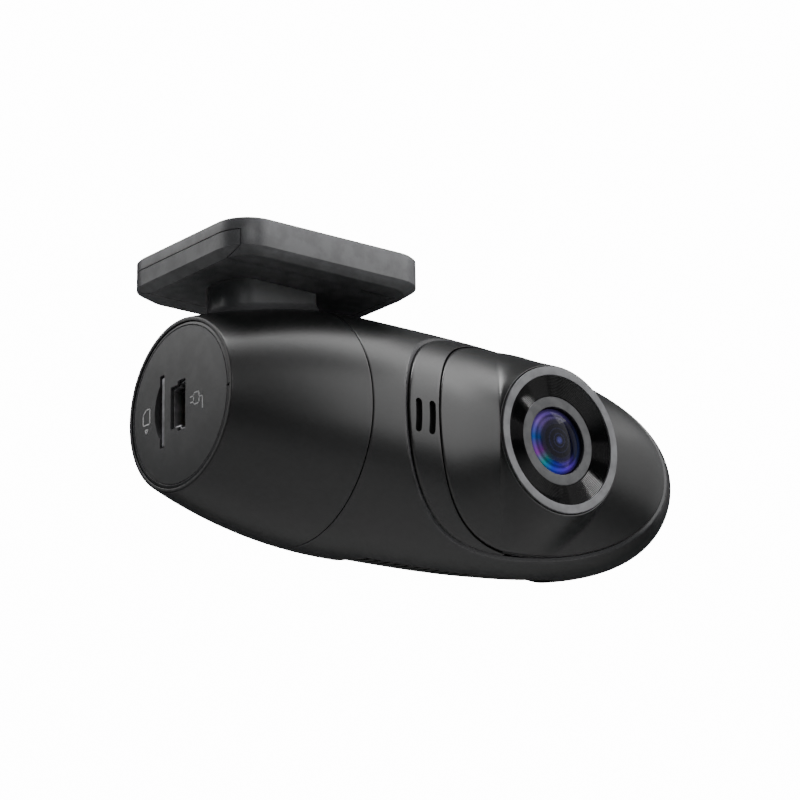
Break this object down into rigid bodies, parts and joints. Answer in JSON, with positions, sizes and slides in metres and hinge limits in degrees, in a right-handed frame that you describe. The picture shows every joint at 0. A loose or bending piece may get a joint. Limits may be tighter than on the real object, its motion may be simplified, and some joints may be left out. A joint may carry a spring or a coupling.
{
  "type": "dash camera",
  "caption": "Torpedo-shaped windscreen dash camera whose lens capsule turns in a sleeve under a slide-in adhesive mount, with ports in the end cap.",
  "frame": {"origin": "centre of the adhesive pad's top face, where the camera sticks to the windscreen", "axes": "+Z out of the adhesive face, +X along the body from the port end to the nose, -Y the way the lens looks at rest"},
  "size_m": [0.0955, 0.0387, 0.0463],
  "materials": {
    "body_plastic": "satin, fine texture",
    "panel_plastic": "smooth satin",
    "mount_plastic": "satin",
    "cap_plastic": "fine texture",
    "lens_ring_metal": "satin grey",
    "black_plastic": "satin black",
    "coated_glass": "polished, coated",
    "bright_metal": "plated",
    "circuit_board": "solder resist",
    "chip_resin": "moulded",
    "rubber": "matt",
    "foam_tape": "foam tape under a liner",
    "clear_plastic": "diffusing",
    "ribbon_film": "film"
  },
  "bodies": {
    "mount_base": {"adhesive_pad": "foam_tape", "mount_plate": "mount_plastic"},
    "bracket": {"slide_plate": "mount_plastic", "bracket_neck": "mount_plastic", "barrel_sleeve": "body_plastic", "neck_screw_1": "bright_metal", "neck_screw_2": "bright_metal", "stop_pin": "bright_metal", "friction_washer": "rubber"},
    "camera": {"core_tube": "black_plastic", "core_screw_1": "bright_metal", "core_screw_2": "bright_metal", "core_screw_3": "bright_metal", "end_cap": "cap_plastic", "rear_shell": "body_plastic", "mic_band": "body_plastic", "lens_panel": "panel_plastic", "vent_grille": "black_plastic", "lens_bezel": "lens_ring_metal", "grooved_ring": "black_plastic", "inner_ring": "lens_ring_metal", "lens_barrel": "black_plastic", "front_glass": "coated_glass", "second_element": "coated_glass", "rear_element": "coated_glass", "lens_holder": "black_plastic", "sensor_board": "circuit_board", "infrared_filter": "coated_glass", "image_sensor": "chip_resin", "holder_screw_1": "bright_metal", "holder_screw_2": "bright_metal", "main_board": "circuit_board", "processor": "chip_resin", "shield_can": "bright_metal", "heat_spreader": "bright_metal", "wireless_module": "bright_metal", "backup_capacitor": "black_plastic", "sensor_ribbon": "ribbon_film", "power_socket": "bright_metal", "card_socket": "bright_metal", "button_switch": "chip_resin", "status_led": "clear_plastic", "light_pipe": "clear_plastic", "speaker": "black_plastic", "mic_mesh": "black_plastic", "microphone": "bright_metal"},
    "memory_card": {"memory_card": "chip_resin"},
    "power_button": {"power_button": "panel_plastic"}
  },
  "joints": [
    {"name": "bracket_slide", "type": "slide", "parent": "mount_base", "child": "bracket", "axis": [-1, 0, 0], "range_m": [0, 0.0366]},
    {"name": "camera_tilt", "type": "hinge", "parent": "bracket", "child": "camera", "pos_m": [0, 0, -0.02725], "axis": [-1, 0, 0], "range_deg": [-45, 90]},
    {"name": "card_slide", "type": "slide", "parent": "camera", "child": "memory_card", "axis": [-1, 0, 0], "range_m": [0, 0.013]},
    {"name": "button_press", "type": "slide", "parent": "camera", "child": "power_button", "axis": [0, -1, 0], "range_m": [0, 0.0005], "stiffness_N_per_m": 400}
  ]
}
